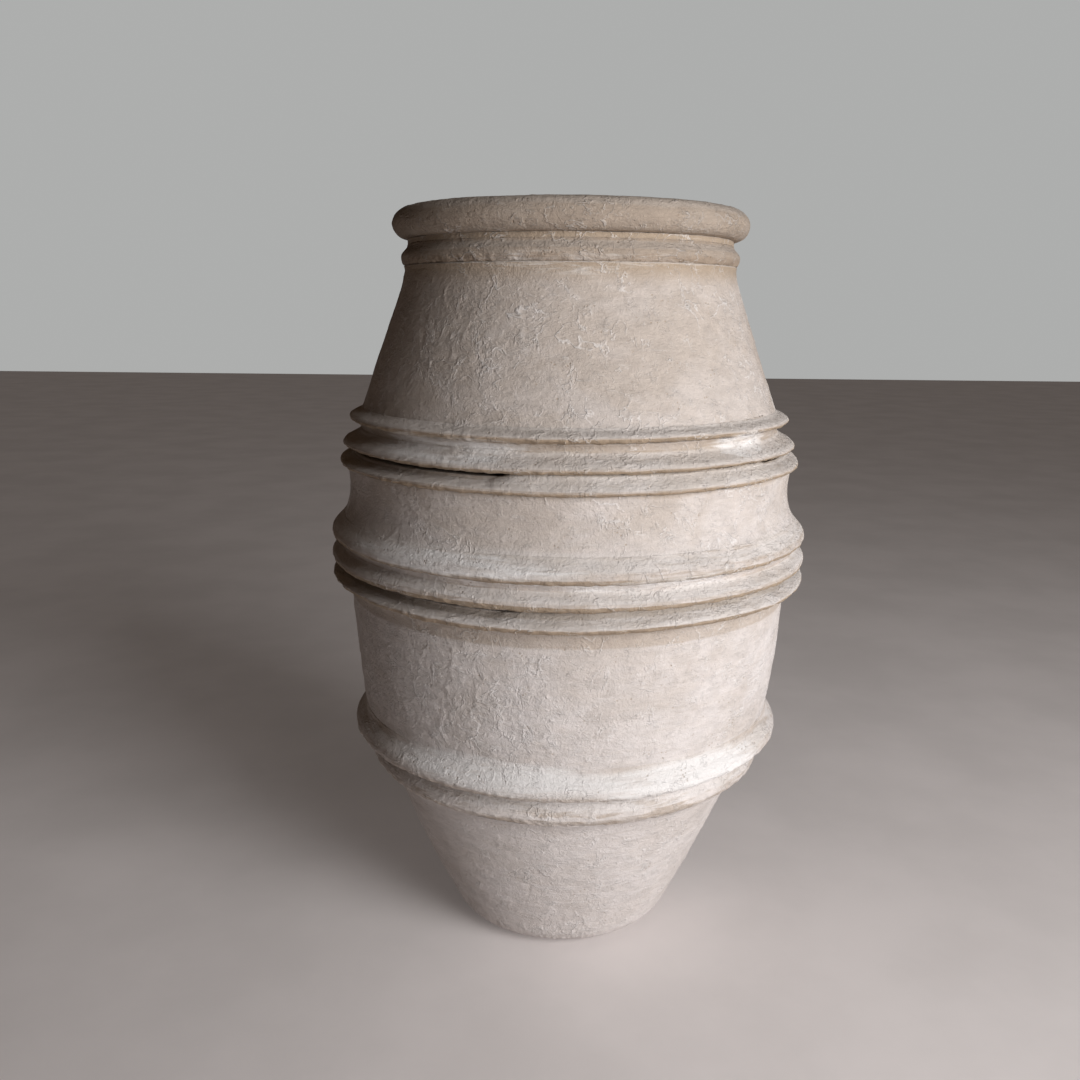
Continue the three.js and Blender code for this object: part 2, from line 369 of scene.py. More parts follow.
CANVAS_LEVELS = (np.arange(CANVAS_ROWS)[:, None] + 0.5) * CELL
CANVAS_AZIMUTHS = (np.arange(CANVAS_COLUMNS)[None, :] / CANVAS_COLUMNS * 360 + 90 + 180) % 360 - 180


def patch(azimuth, level, half_width, half_height):
    """Soft patch on the canvas: 1 at its middle, 0 outside. Degrees across, metres up."""
    across = ((CANVAS_AZIMUTHS - azimuth + 180) % 360 - 180) / half_width
    up = (CANVAS_LEVELS - level) / half_height
    return 1 - smoothstep(0.45, 1.15, np.hypot(across, up))


def wall_radius_by_level(turnings):
    """Radius of the jar's bare outside at each canvas row."""
    radius = np.zeros(CANVAS_ROWS)
    for turning in turnings:
        row = np.clip((turning.dense_face[:, 1] / CELL).astype(int), 0, CANVAS_ROWS - 1)
        np.maximum.at(radius, row, turning.dense_face[:, 0])
    radius[radius == 0] = radius[np.flatnonzero(radius)[-1]]
    return radius


class Strokes:
    """Thin curved ridges and cuts, laid one by one on the canvas."""

    def __init__(self, wall_radius):
        self.wall_radius = wall_radius
        self.ridges = np.zeros((CANVAS_ROWS, CANVAS_COLUMNS))
        self.cuts = np.zeros((CANVAS_ROWS, CANVAS_COLUMNS))

    def places(self, count, density):
        """Random places on the canvas, as many as the density map asks for."""
        rows = random.integers(0, CANVAS_ROWS, count)
        columns = random.integers(0, CANVAS_COLUMNS, count)
        chosen = random.uniform(0, 1, count) < density[rows, columns]
        return rows[chosen].astype(float), columns[chosen].astype(float)

    def lay(self, count, density, length, width, height, heading, spread, bend):
        """Lays strokes. Lengths are [least, most] in mm, headings in radians from level, height signed."""
        row, column = self.places(count, density)
        number = len(row)
        lengths = random.uniform(length[0], length[1], number)
        heights = height * random.uniform(0.45, 1.0, number)
        widths = width * random.uniform(0.7, 1.3, number)
        headings = heading + random.normal(0, spread, number)
        headings += np.pi * random.integers(0, 2, number)
        step = width * 0.8
        reach = int(np.ceil(width * 2.2 / (CELL / MM)))
        for i in range(int(length[1] / step)):
            drawn = lengths > i * step
            headings = headings + random.normal(0, bend, number)
            radius = self.wall_radius[np.clip(row.astype(int), 0, CANVAS_ROWS - 1)]
            around = TAU * radius / CANVAS_COLUMNS / MM
            column = column + step * np.cos(headings) / around
            row = row + step * np.sin(headings) / (CELL / MM)
            taper = np.sqrt(np.clip(1 - i * step / lengths, 0, 1))
            tapered = heights * taper
            self.dab(row[drawn], column[drawn], around[drawn], widths[drawn], tapered[drawn], reach)

    def dab(self, row, column, around, width, height, reach):
        """Adds one round dab per place to the ridges, or to the cuts where the heights are negative."""
        if height.size == 0:
            return
        base_row = np.round(row).astype(int)
        base_column = np.round(column).astype(int)
        span = range(-reach, reach + 1)
        for up in span:
            for across in range(-2 * reach, 2 * reach + 1):
                rise = (base_row + up - row) * CELL / MM
                side = (base_column + across - column) * around
                value = height * np.exp(-(rise**2 + side**2) / width**2)
                at_row = np.clip(base_row + up, 0, CANVAS_ROWS - 1)
                at_column = (base_column + across) % CANVAS_COLUMNS
                if height[0] > 0:
                    np.maximum.at(self.ridges, (at_row, at_column), value)
                else:
                    np.minimum.at(self.cuts, (at_row, at_column), value)


def make_relief(wall_radius):
    """The relief of the whole jar, in millimetres, and how gritty it is, from 0 to 1."""
    hollows = 0.75 * cloud(9, 9) + 0.5 * cloud(21, 17)
    trowelling = 0.22 * cloud(46, 52) + 0.16 * cloud(80, 120) + 0.12 * cloud(150, 160)
    lifts = np.clip(1 - np.abs(cloud(34, 40) + 0.4 * cloud(90, 90)) * 3.2, 0, 1) ** 2
    lifts *= smoothstep(0.0, 0.6, cloud(16, 14))
    grit = 0.10 * cloud(480, 330) + 0.10 * cloud(300, 220)

    shoulder_patch = patch(-32, 0.92, 24, 0.075)
    belly_patch = patch(-40, 0.46, 26, 0.09)
    blister = patch(-9, 0.43, 9, 0.055)
    heel_patch = patch(2, 0.035, 26, 0.035)
    rough = np.clip(shoulder_patch + 0.55 * belly_patch + 0.8 * blister, 0, 1)
    somewhere = smoothstep(-0.2, 0.9, cloud(14, 12))

    strokes = Strokes(wall_radius)
    strokes.lay(5000, 0.06 + 0.22 * somewhere + 0.35 * rough, (5, 18), 2.0, 0.9, 0.3, 0.9, 0.45)
    strokes.lay(1600, 0.08 + 0.20 * somewhere + 0.35 * rough, (12, 42), 2.4, 1.0, 1.0, 0.8, 0.30)
    strokes.lay(1200, 0.05 + 0.20 * somewhere + 0.3 * belly_patch, (14, 70), 1.8, -0.8, 0.1, 0.5, 0.22)
    strokes.lay(500, 0.9 * belly_patch, (14, 60), 1.6, -0.9, 0.4, 0.9, 0.4)
    strokes.lay(90, 0.9 * patch(14, 0.515, 26, 0.05), (90, 210), 3.0, 1.1, 0.1, 0.14, 0.03)
    strokes.lay(260, 0.8 * blister, (16, 44), 2.4, 1.7, 0.8, 0.9, 0.5)
    strokes.lay(400, patch(12, 0.895, 5, 0.045), (12, 36), 1.6, -0.9, 1.5, 0.15, 0.08)
    strokes.lay(400, patch(30, 0.19, 16, 0.09), (30, 80), 2.6, 0.7, 1.0, 0.12, 0.03)

    crumbs = np.clip(cloud(420, 300), 0, 1) * (0.5 * shoulder_patch + 1.0 * heel_patch + 0.2 * belly_patch)
    relief = hollows + trowelling + 0.55 * lifts + grit + crumbs + strokes.ridges + strokes.cuts
    return relief, np.clip(rough + heel_patch + 0.45 * somewhere, 0, 1)


def make_chalk():
    """Where chalk has been brushed on thickest, from 0 to 1: mostly on the bands' upper slopes."""
    brushed = 0.9 * patch(-32, 0.785, 30, 0.022) + 0.9 * patch(-30, 0.645, 40, 0.02)
    brushed += 1.0 * patch(-22, 0.352, 36, 0.028) + 0.9 * patch(46, 0.79, 14, 0.022)
    brushed += 0.6 * patch(20, 0.62, 30, 0.02) + 1.0 * patch(34, 0.34, 34, 0.035)
    brushed += 0.4 * patch(0, 1.02, 45, 0.02)
    elsewhere = smoothstep(0.1, 0.9, cloud(18, 26)) * (np.abs(CANVAS_AZIMUTHS) > 75)
    return np.clip(brushed + 0.7 * elsewhere, 0, 1)


def sample(canvas, angle, level):
    """Reads a canvas at angles round the jar and at levels."""
    column = (angle / TAU * CANVAS_COLUMNS) % CANVAS_COLUMNS
    row = np.clip(level / CELL - 0.5, 0, CANVAS_ROWS - 1.001)
    left = np.floor(column).astype(int)
    below = np.floor(row).astype(int)
    u = column - left
    v = row - below
    left = left % CANVAS_COLUMNS
    right = (left + 1) % CANVAS_COLUMNS
    low = canvas[below, left] * (1 - u) + canvas[below, right] * u
    high = canvas[below + 1, left] * (1 - u) + canvas[below + 1, right] * u
    return low * (1 - v) + high * v


# ---------------------------------------------------------------------------------------------------
# Working a piece by hand
# ---------------------------------------------------------------------------------------------------

# Azimuths up to which each joint slot gapes, from the left, and up to which it is ragged.
SLOT_GAPES = {"upper_band_3": (-16, 0), "middle_band_3": (-13, 16), "lower_band_2": (-130, -100)}

# The lower lip of a slot is pressed up and out by this much where it is shut, and sags where it gapes.
SLOT_LIFT = 6.5 * MM
SLOT_SPREAD = 3.0 * MM
SLOT_SAG = 2.8 * MM

# How deep the crumbs on a band's lip are, in mm.
CRUMBLE_DEPTH = 0.8


def slot_openness(azimuth, open_until, ragged_until):
    """How far a joint slot gapes, by azimuth: open at the left of the front, then ragged, then shut."""
    wide = 1 - smoothstep(open_until - 6, open_until + 4, azimuth)
    far_side = smoothstep(-150, -110, azimuth)
    ragged = 0.55 * np.clip(ripple(60, len(azimuth)) + 0.35, 0, 1)
    ragged *= 1 - smoothstep(open_until, ragged_until, azimuth)
    edge_gap = smoothstep(50, 56, azimuth) * (1 - smoothstep(76, 88, azimuth)) * 0.45
    behind = np.clip(ripple(9, len(azimuth)), 0, 1) * smoothstep(105, 125, np.abs(azimuth))
    return np.clip(wide * far_side + ragged + edge_gap + behind, 0, 1)


def work_piece(turning, columns):
    """Vertices of a hand-worked piece as rows x columns x 3, with its surface values."""
    angle = (np.arange(columns) / columns * TAU)[None, :]
    azimuth = (np.degrees(angle[0]) + 90 + 180) % 360 - 180
    radius = np.repeat(turning.points[:, :1], columns, axis=1)
    level = np.repeat(turning.points[:, 1:], columns, axis=1)
    on_face = turning.on_face[:, None]
    normal_out = turning.normals[:, :1]
    normal_up = turning.normals[:, 1:]

    if turning.band:
        climb = np.clip((level - turning.low) / (turning.high - turning.low), 0, 1)
        belly = np.sin(np.pi * climb)
        radius += belly * ripple(26, columns) * 0.9 * MM
        level += belly * ripple(17, columns) * 1.1 * MM
    if turning.node in SLOT_GAPES:
        shut = 1 - slot_openness(azimuth, *SLOT_GAPES[turning.node])
        over_nose = smoothstep(turning.nose_level, turning.high, level)
        level += over_nose * (shut * SLOT_LIFT - (1 - shut) * SLOT_SAG)
        radius += over_nose * shut * SLOT_SPREAD

    # Faces that lie flat would smear the relief, so there it is read along the outline instead of by level.
    if turning.band or turning.node == "rolled_rim":
        reading = turning.high - turning.face_length + turning.path[:, None] + 0 * level
        reading = np.where(on_face, reading, level)
    else:
        reading = level
    rise = sample(RELIEF, angle, reading)

    # A band's downward faces: they crumble, and their wash turns towards the clay colour, partly bare clay
    # and partly painted shade.
    lip = on_face * smoothstep(0.15, -0.45, normal_up) * (1.0 if turning.band else 0.0)
    crumble = np.clip(sample(CRUMBLE, angle, reading), -1, 1.3)
    share = np.where(on_face, 1.0, 0.0 if turning.node in BANDS else 0.35)
    worked = rise * share + crumble * lip * CRUMBLE_DEPTH
    radius += normal_out * worked * MM
    level += normal_up * worked * MM

    # Lean and squeeze, which every piece shares.
    lean = np.interp(level, [p[0] for p in LEAN], [p[1] for p in LEAN]) * MM
    radius += OUT_OF_ROUND * MM * np.sin(2 * angle) * np.sin(TAU * level / 0.9 + 0.6)
    level_fade = smoothstep(0.0, 0.25, level) * (1 - smoothstep(1.0, 1.1, level))
    level += LEVEL_WAVE * MM * level_fade * (np.sin(angle + 0.8) + 0.5 * np.sin(2 * angle + 2.0))
    vertices = np.stack([radius * np.cos(angle) + lean, radius * np.sin(angle), level], axis=-1)
    vertices = np.clip(vertices, list(CAD_LOW), list(CAD_HIGH))
    grit = sample(GRITTINESS, angle, reading) * share
    chalk = sample(BRUSHED_CHALK, angle, level) * on_face
    return vertices, {"rise": rise * share, "lip": lip + 0 * level, "grit": grit, "chalk": chalk}


def overhang_shade_and_ledge(turning, columns):
    """How deep each row lies under an overhang, which sets its painted shade, and how much of a ledge it
    is, which sets its chalk dust and painted highlight, both from 0 to 1.

    The bands of the lower group are smeared into the wall, so that nothing below them gets this painted
    shade.
    """
    reach = np.arange(1, 23)
    overhang_shade = np.zeros(len(turning.points))
    for i, (radius, level) in enumerate(turning.points):
        row = int(level / CELL)
        above = ENVELOPE[np.clip(row + reach, 0, CANVAS_ROWS - 1)] - reach * CELL * 0.55
        overhang_shade[i] = max(0.0, float(above.max()) - radius)
    # Painted shade: the deeper a row lies under an overhang, the more its wash turns to the clay colour,
    # partly bare clay and partly shade.
    overhang_shade = smoothstep(1 * MM, 12 * MM, overhang_shade)
    overhang_shade *= smoothstep(0.30, 0.40, turning.points[:, 1])
    # How far a row faces up: such ledges get chalk dust and a painted highlight.
    ledge = smoothstep(0.16, 0.75, turning.normals[:, 1])
    return [np.repeat(value[:, None], columns, axis=1) for value in (overhang_shade, ledge)]


# ---------------------------------------------------------------------------------------------------
# Meshes
# ---------------------------------------------------------------------------------------------------

def ring_faces(rows, columns, closed):
    """Four-sided faces of a turned surface, with outward normals."""
    count = rows if closed else rows - 1
    row = np.repeat(np.arange(count), columns)
    column = np.tile(np.arange(columns), count)
    next_row = (row + 1) % rows
    next_column = (column + 1) % columns
    corners = [row * columns + column, row * columns + next_column]
    corners += [next_row * columns + next_column, next_row * columns + column]
    return np.stack(corners, axis=1)


def disc_caps(rows, columns):
    """The two round faces that close a turned surface at the axis: the first faces down, the last up."""
    first_row = np.arange(columns)
    return [first_row[::-1], first_row + (rows - 1) * columns]


def build_mesh(name, vertices, faces, caps, values, material):
    """A mesh object with smooth shading and one float value per vertex for each named attribute."""
    mesh = bpy.data.meshes.new(name)
    flat = vertices.reshape(-1, 3)
    corners = np.concatenate([faces.ravel(), *caps]).astype(np.int32)
    sizes = np.concatenate([np.full(len(faces), 4), [len(cap) for cap in caps]]).astype(int)
    starts = np.concatenate([[0], np.cumsum(sizes)[:-1]]).astype(np.int32)
    mesh.vertices.add(len(flat))
    mesh.vertices.foreach_set("co", flat.astype(np.float32).ravel())
    mesh.loops.add(len(corners))
    mesh.loops.foreach_set("vertex_index", corners)
    mesh.polygons.add(len(sizes))
    mesh.polygons.foreach_set("loop_start", starts)
    mesh.polygons.foreach_set("use_smooth", np.ones(len(sizes), bool))
    mesh.update(calc_edges=True)
    for attribute, value in values.items():
        layer = mesh.attributes.new(attribute, "FLOAT", "POINT")
        layer.data.foreach_set("value", np.ascontiguousarray(value, np.float32).ravel())
    mesh.materials.append(material)
    piece = bpy.data.objects.new(name, mesh)
    bpy.context.scene.collection.objects.link(piece)
    return piece


def make_piece(turning, columns, material):
    """Builds one worked piece, hangs it on the jar's body and lets it stand for its CAD node."""
    vertices, values = work_piece(turning, columns)
    values["overhang_shade"], values["ledge"] = overhang_shade_and_ledge(turning, columns)
    faces = ring_faces(len(vertices), columns, turning.ring)
    caps = [] if turning.ring else disc_caps(len(vertices), columns)
    piece = build_mesh(turning.node.replace("_", "-"), vertices, faces, caps, values, material)
    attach(piece, "root")
    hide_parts(turning.node)
    return piece


# ---------------------------------------------------------------------------------------------------
# Shader nodes
# ---------------------------------------------------------------------------------------------------

# Sockets of a colour Mix node, whose names repeat for every kind of value that it can mix.
MIX_FIRST = 6
MIX_SECOND = 7
MIX_RESULT = 2


class Nodes:
    """Short names for building one node tree."""

    def __init__(self, tree):
        self.tree = tree

    def add(self, kind, **settings):
        """Adds a node and sets its properties."""
        made = self.tree.nodes.new(kind)
        for name, value in settings.items():
            setattr(made, name, value)
        return made

    def put(self, socket, value):
        """Sets a socket to a constant, or links another socket to it."""
        if isinstance(value, bpy.types.NodeSocket):
            self.tree.links.new(value, socket)
        else:
            socket.default_value = value

    def maths(self, operation, *values, clamp=False):
        """One sum of up to three values."""
        made = self.add("ShaderNodeMath", operation=operation, use_clamp=clamp)
        for socket, value in zip(made.inputs, values):
            self.put(socket, value)
        return made.outputs["Value"]

    def fade(self, value, low, high, to_low=0.0, to_high=1.0):
        """Smoothly carries a value from one range to another."""
        made = self.add("ShaderNodeMapRange", interpolation_type="SMOOTHSTEP")
        for name, given in (("Value", value), ("From Min", low), ("From Max", high)):
            self.put(made.inputs[name], given)
        self.put(made.inputs["To Min"], to_low)
        self.put(made.inputs["To Max"], to_high)
        return made.outputs["Result"]

    def blend(self, amount, first, second, kind="MIX"):
        """Mixes two colours."""
        made = self.add("ShaderNodeMix", data_type="RGBA", blend_type=kind)
        self.put(made.inputs["Factor"], amount)
        self.put(made.inputs[MIX_FIRST], first)
        self.put(made.inputs[MIX_SECOND], second)
        return made.outputs[MIX_RESULT]

    def noise(self, coordinates, scale, detail=4.0, roughness=0.55, distortion=0.0):
        """Noise about 0.5, with `scale` cells to the metre."""
        made = self.add("ShaderNodeTexNoise")
        self.put(made.inputs["Vector"], coordinates)
        self.put(made.inputs["Scale"], scale)
        self.put(made.inputs["Detail"], detail)
        self.put(made.inputs["Roughness"], roughness)
        self.put(made.inputs["Distortion"], distortion)
        return made.outputs["Fac"]

    def place(self, stretch=(1.0, 1.0, 1.0), offset=(0.0, 0.0, 0.0)):
        """Object coordinates, which all pieces of the jar share, stretched and shifted."""
        coordinates = self.add("ShaderNodeTexCoord").outputs["Object"]
        mapping = self.add("ShaderNodeMapping")
        self.put(mapping.inputs["Vector"], coordinates)
        mapping.inputs["Scale"].default_value = stretch
        mapping.inputs["Location"].default_value = offset
        return mapping.outputs["Vector"]

    def value_of(self, attribute):
        """A value stored on the mesh."""
        return self.add("ShaderNodeAttribute", attribute_name=attribute).outputs["Fac"]


def new_group(name, inputs, outputs):
    """An empty node group. Its inputs are (name, kind, default) and its outputs (name, kind)."""
    tree = bpy.data.node_groups.new(name, "ShaderNodeTree")
    for socket_name, kind, default in inputs:
        socket = tree.interface.new_socket(socket_name, in_out="INPUT", socket_type=kind)
        socket.default_value = default
    for socket_name, kind in outputs:
        tree.interface.new_socket(socket_name, in_out="OUTPUT", socket_type=kind)
    nodes = Nodes(tree)
    return tree, nodes, nodes.add("NodeGroupInput").outputs, nodes.add("NodeGroupOutput").inputs


FLOAT = "NodeSocketFloat"
COLOUR = "NodeSocketColor"


def trowelled_plaster_group():
    """Fine relief of trowelled plaster, in mm: drag marks, flakes, brush lines, skin, pits and grain."""
    inputs = [
        ("Drag", FLOAT, 1.5),
        ("Brush lines", FLOAT, 0.5),
        ("Skin", FLOAT, 1.7),
        ("Flecks", FLOAT, 0.8),
        ("Pits", FLOAT, 0.4),
        ("Grain", FLOAT, 0.2),
    ]
    outputs = [("Height", FLOAT), ("Fleck", FLOAT), ("Pit", FLOAT)]
    tree, nodes, given, result = new_group("trowelled plaster", inputs, outputs)
    level_marks = nodes.noise(nodes.place((1.0, 1.0, 3.0)), 34.0, 7.0, 0.68, 0.8)
    cross_marks = nodes.noise(nodes.place((1.6, 1.6, 1.0), (3.1, 0.4, 1.7)), 70.0, 6.0, 0.68, 1.4)
    drag = nodes.maths("ADD", level_marks, nodes.maths("MULTIPLY", cross_marks, 0.6))
    drag = nodes.maths("MULTIPLY", nodes.maths("SUBTRACT", drag, 0.8), given["Drag"])

    # Flakes: low terraces with ragged, slightly raised edges, which fade in and out; more of them on grit.
    grit = nodes.value_of("grit")
    fleck = 0.0
    terraces = 0.0
    for scale, stretch, share in ((17.0, 1.5, 1.0), (34.0, 0.7, 0.9), (66.0, 1.4, 0.65)):
        ragged = nodes.noise(nodes.place((1.0, 1.0, stretch), (scale, 2.0, 5.0)), scale, 4.0, 0.58, 0.35)
        step = nodes.fade(ragged, 0.500, 0.514)
        slope = nodes.fade(ragged, 0.575, 0.514)
        edge = nodes.maths("MULTIPLY", step, nodes.fade(ragged, 0.530, 0.516))
        here = nodes.noise(nodes.place((1.0, 1.0, 1.0), (7.0, scale, 2.0)), scale * 0.8, 3.0, 0.55)
        here = nodes.maths("ADD", here, nodes.maths("MULTIPLY", grit, 0.11))
        here = nodes.maths("MULTIPLY", nodes.fade(here, 0.50, 0.64), share)
        raised = nodes.maths("MULTIPLY", step, slope)
        terraces = nodes.maths("ADD", terraces, nodes.maths("MULTIPLY", raised, here))
        fleck = nodes.maths("MAXIMUM", fleck, nodes.maths("MULTIPLY", edge, here))

    brushed = nodes.noise(nodes.place((1.0, 1.0, 7.0), (2.0, 8.0, 1.0)), 40.0, 5.0, 0.65, 0.5)
    brushed = nodes.maths("MULTIPLY", nodes.maths("SUBTRACT", brushed, 0.5), given["Brush lines"])
    skin = nodes.noise(nodes.place((1.0, 1.0, 1.3), (5.0, 5.0, 1.0)), 190.0, 5.0, 0.7, 0.6)
    skin = nodes.maths("MULTIPLY", nodes.maths("SUBTRACT", skin, 0.5), given["Skin"])

    cells = nodes.add("ShaderNodeTexVoronoi")
    nodes.put(cells.inputs["Vector"], nodes.place((1.0, 1.0, 1.2)))
    nodes.put(cells.inputs["Scale"], 150.0)
    hole = nodes.fade(cells.outputs["Distance"], 0.30, 0.12)
    some = nodes.fade(nodes.noise(nodes.place((1.0, 1.0, 1.0), (1.0, 9.0, 4.0)), 42.0, 3.0), 0.56, 0.66)
    pit = nodes.maths("MULTIPLY", hole, some)

    grain = nodes.noise(nodes.place(), 520.0, 3.0, 0.6)
    grain = nodes.maths("MULTIPLY", nodes.maths("SUBTRACT", grain, 0.5), given["Grain"])
    height = nodes.maths("ADD", nodes.maths("ADD", drag, grain), nodes.maths("ADD", brushed, skin))
    height = nodes.maths("ADD", height, nodes.maths("MULTIPLY", terraces, given["Flecks"]))
    height = nodes.maths("SUBTRACT", height, nodes.maths("MULTIPLY", pit, given["Pits"]))
    nodes.put(result["Height"], height)
    nodes.put(result["Fleck"], fleck)
    nodes.put(result["Pit"], pit)
    return tree


def limewash_group():
    """Colour of thin limewash over clay: cloudy wash, clay and painted shade where it is sheltered, chalk
    dust and painted highlight on ledges.
    """
    inputs = [
        ("Wash", COLOUR, (0.5, 0.5, 0.5, 1.0)),
        ("Stain", COLOUR, (0.4, 0.35, 0.3, 1.0)),
        ("Clay", COLOUR, (0.3, 0.2, 0.12, 1.0)),
        ("Chalk", COLOUR, (0.7, 0.7, 0.72, 1.0)),
        ("Fleck", FLOAT, 0.0),
        ("Pit", FLOAT, 0.0),
        ("Stained", FLOAT, 0.5),
        ("Streaks", FLOAT, 0.3),
        ("Bare clay and shade", FLOAT, 0.7),
        ("Ledge dust and highlight", FLOAT, 0.6),
        ("Shade under the rim", FLOAT, 0.0),
    ]
    outputs = [("Color", COLOUR), ("Chalkiness and highlight", FLOAT)]
    tree, nodes, given, result = new_group("limewash", inputs, outputs)
    cloudy = nodes.noise(nodes.place((1.0, 1.0, 1.3), (4.0, 4.0, 0.0)), 7.0, 8.0, 0.62, 0.6)
    mottled = nodes.noise(nodes.place((1.0, 1.0, 1.8), (0.0, 6.0, 3.0)), 38.0, 6.0, 0.66, 0.5)
    rise = nodes.value_of("rise")
    overhang_shade = nodes.value_of("overhang_shade")
    ledge = nodes.value_of("ledge")

    level = nodes.add("ShaderNodeSeparateXYZ")
    nodes.put(level.inputs["Vector"], nodes.place())
    # More of the stain colour towards the top of the jar, and less near the foot.
    darker_towards_top = nodes.fade(level.outputs["Z"], 0.45, 1.0, 0.0, 0.8)
    stained = nodes.maths("MULTIPLY", nodes.fade(cloudy, 0.40, 0.66), given["Stained"])
    stained = nodes.maths("MULTIPLY", stained, nodes.fade(level.outputs["Z"], 0.10, 0.42, 0.35, 1.0))
    stained = nodes.maths("ADD", stained, darker_towards_top, clamp=True)
    colour = nodes.blend(stained, given["Wash"], given["Stain"])
    streaky = nodes.noise(nodes.place((1.0, 1.0, 9.0), (1.0, 3.0, 7.0)), 16.0, 7.0, 0.68, 0.7)
    streaked = nodes.maths("MULTIPLY", nodes.fade(streaky, 0.47, 0.62), given["Streaks"])
    colour = nodes.blend(streaked, colour, given["Stain"])
    shade = nodes.fade(mottled, 0.25, 0.75, 0.90, 1.09)
    colour = nodes.blend(1.0, colour, shade, "MULTIPLY")

    # Painted shade: where the relief lies low, the wash turns towards the stain colour.
    hollow_shade = nodes.fade(rise, -0.4, -2.2, 0.0, 0.35)
    colour = nodes.blend(hollow_shade, colour, given["Stain"])
    # Under overhangs and on downward faces the wash turns to the clay colour: partly bare clay, partly
    # painted shade. Less of it low on the jar.
    shade_on_undersides_and_overhangs = nodes.maths("MAXIMUM", overhang_shade, nodes.value_of("lip"))
    ragged = nodes.maths("MULTIPLY", nodes.maths("SUBTRACT", mottled, 0.5), 1.3)
    bare_clay_and_shade = nodes.fade(nodes.maths("ADD", shade_on_undersides_and_overhangs, ragged), 0.35, 0.95)
    bare_clay_and_shade = nodes.maths("MULTIPLY", bare_clay_and_shade, given["Bare clay and shade"])
    bare_clay_and_shade = nodes.maths("MULTIPLY", bare_clay_and_shade, nodes.fade(level.outputs["Z"], 0.36, 0.42, 0.3, 1.0))
    # Painted shade in the groove under the rim: near the top the wall turns to the clay colour.
    shade_under_the_rim = nodes.fade(level.outputs["Z"], 0.985, 1.02, 0.0, given["Shade under the rim"])
    colour = nodes.blend(nodes.maths("MAXIMUM", bare_clay_and_shade, shade_under_the_rim), colour, given["Clay"])

    # Upward-facing ledges turn to the chalk colour: partly chalk dust, partly a painted highlight from
    # light falling from above.
    patchy = nodes.maths("MULTIPLY", nodes.maths("SUBTRACT", cloudy, 0.5), 2.0)
    ragged_ledge = nodes.maths("ADD", ledge, patchy)
    dust_and_highlight = nodes.maths("MULTIPLY", nodes.fade(ragged_ledge, 0.30, 1.0), given["Ledge dust and highlight"])
    brush = nodes.maths("MULTIPLY", nodes.maths("SUBTRACT", streaky, 0.5), 2.2)
    thick = nodes.maths("ADD", nodes.value_of("chalk"), brush)
    dust_and_highlight = nodes.maths("MAXIMUM", dust_and_highlight, nodes.fade(thick, 0.15, 1.2, 0.0, 0.85))
    # Painted highlight: raised relief and the edges of flakes turn towards the chalk colour.
    high = nodes.fade(rise, 0.6, 2.2, 0.0, 0.30)
    dust_and_highlight = nodes.maths("MAXIMUM", dust_and_highlight, high)
    dust_and_highlight = nodes.maths("MAXIMUM", dust_and_highlight, nodes.maths("MULTIPLY", given["Fleck"], 0.4))
    colour = nodes.blend(dust_and_highlight, colour, given["Chalk"])
    # Pits turn towards the clay colour: partly bare clay, partly painted shade.
    colour = nodes.blend(nodes.maths("MULTIPLY", given["Pit"], 0.55), colour, given["Clay"])
    nodes.put(result["Color"], colour)
    nodes.put(result["Chalkiness and highlight"], dust_and_highlight)
    return tree


PLASTER = trowelled_plaster_group()
LIMEWASH = limewash_group()


def washed_material(name, colours, surface, wear_and_painted_light, roughness):
    """A matt clay material under limewash. `surface` sets its relief, and the wear settings how the wash
    has aged and how much painted shade and painted highlight it gets.
    """
    material = bpy.data.materials.new(name)
    material.use_nodes = True
    nodes = Nodes(material.node_tree)
    shader = material.node_tree.nodes["Principled BSDF"]
    plaster = nodes.add("ShaderNodeGroup", node_tree=PLASTER)
    for socket, value in surface.items():
        plaster.inputs[socket].default_value = value
    wash = nodes.add("ShaderNodeGroup", node_tree=LIMEWASH)
    for socket, value in colours.items():
        wash.inputs[socket].default_value = (*value, 1.0)
    for socket, value in wear_and_painted_light.items():
        wash.inputs[socket].default_value = value
    nodes.put(wash.inputs["Fleck"], plaster.outputs["Fleck"])
    nodes.put(wash.inputs["Pit"], plaster.outputs["Pit"])
    nodes.put(shader.inputs["Base Color"], wash.outputs["Color"])
    matt = nodes.fade(wash.outputs["Chalkiness and highlight"], 0.0, 1.0, roughness, min(1.0, roughness + 0.08))
    nodes.put(shader.inputs["Roughness"], matt)
    shader.inputs["Specular IOR Level"].default_value = 0.25
    bump = nodes.add("ShaderNodeBump")
    bump.inputs["Distance"].default_value = MM
    nodes.put(bump.inputs["Height"], plaster.outputs["Height"])
    nodes.put(shader.inputs["Normal"], bump.outputs["Normal"])
    return material


CHALK = (0.72, 0.70, 0.69)
OCHRE = (0.30, 0.225, 0.155)
WALL_COLOURS = {"Wash": (0.575, 0.528, 0.508), "Stain": (0.42, 0.36, 0.315), "Clay": OCHRE, "Chalk": CHALK}
BAND_COLOURS = {"Wash": (0.57, 0.518, 0.49), "Stain": (0.38, 0.31, 0.255), "Clay": OCHRE, "Chalk": CHALK}
# The rim is washed darker and browner than the wall.
RIM_COLOURS = {
    "Wash": (0.43, 0.378, 0.333),
    "Stain": (0.31, 0.25, 0.20),
    "Clay": (0.24, 0.165, 0.105),
    "Chalk": (0.58, 0.55, 0.53),
}
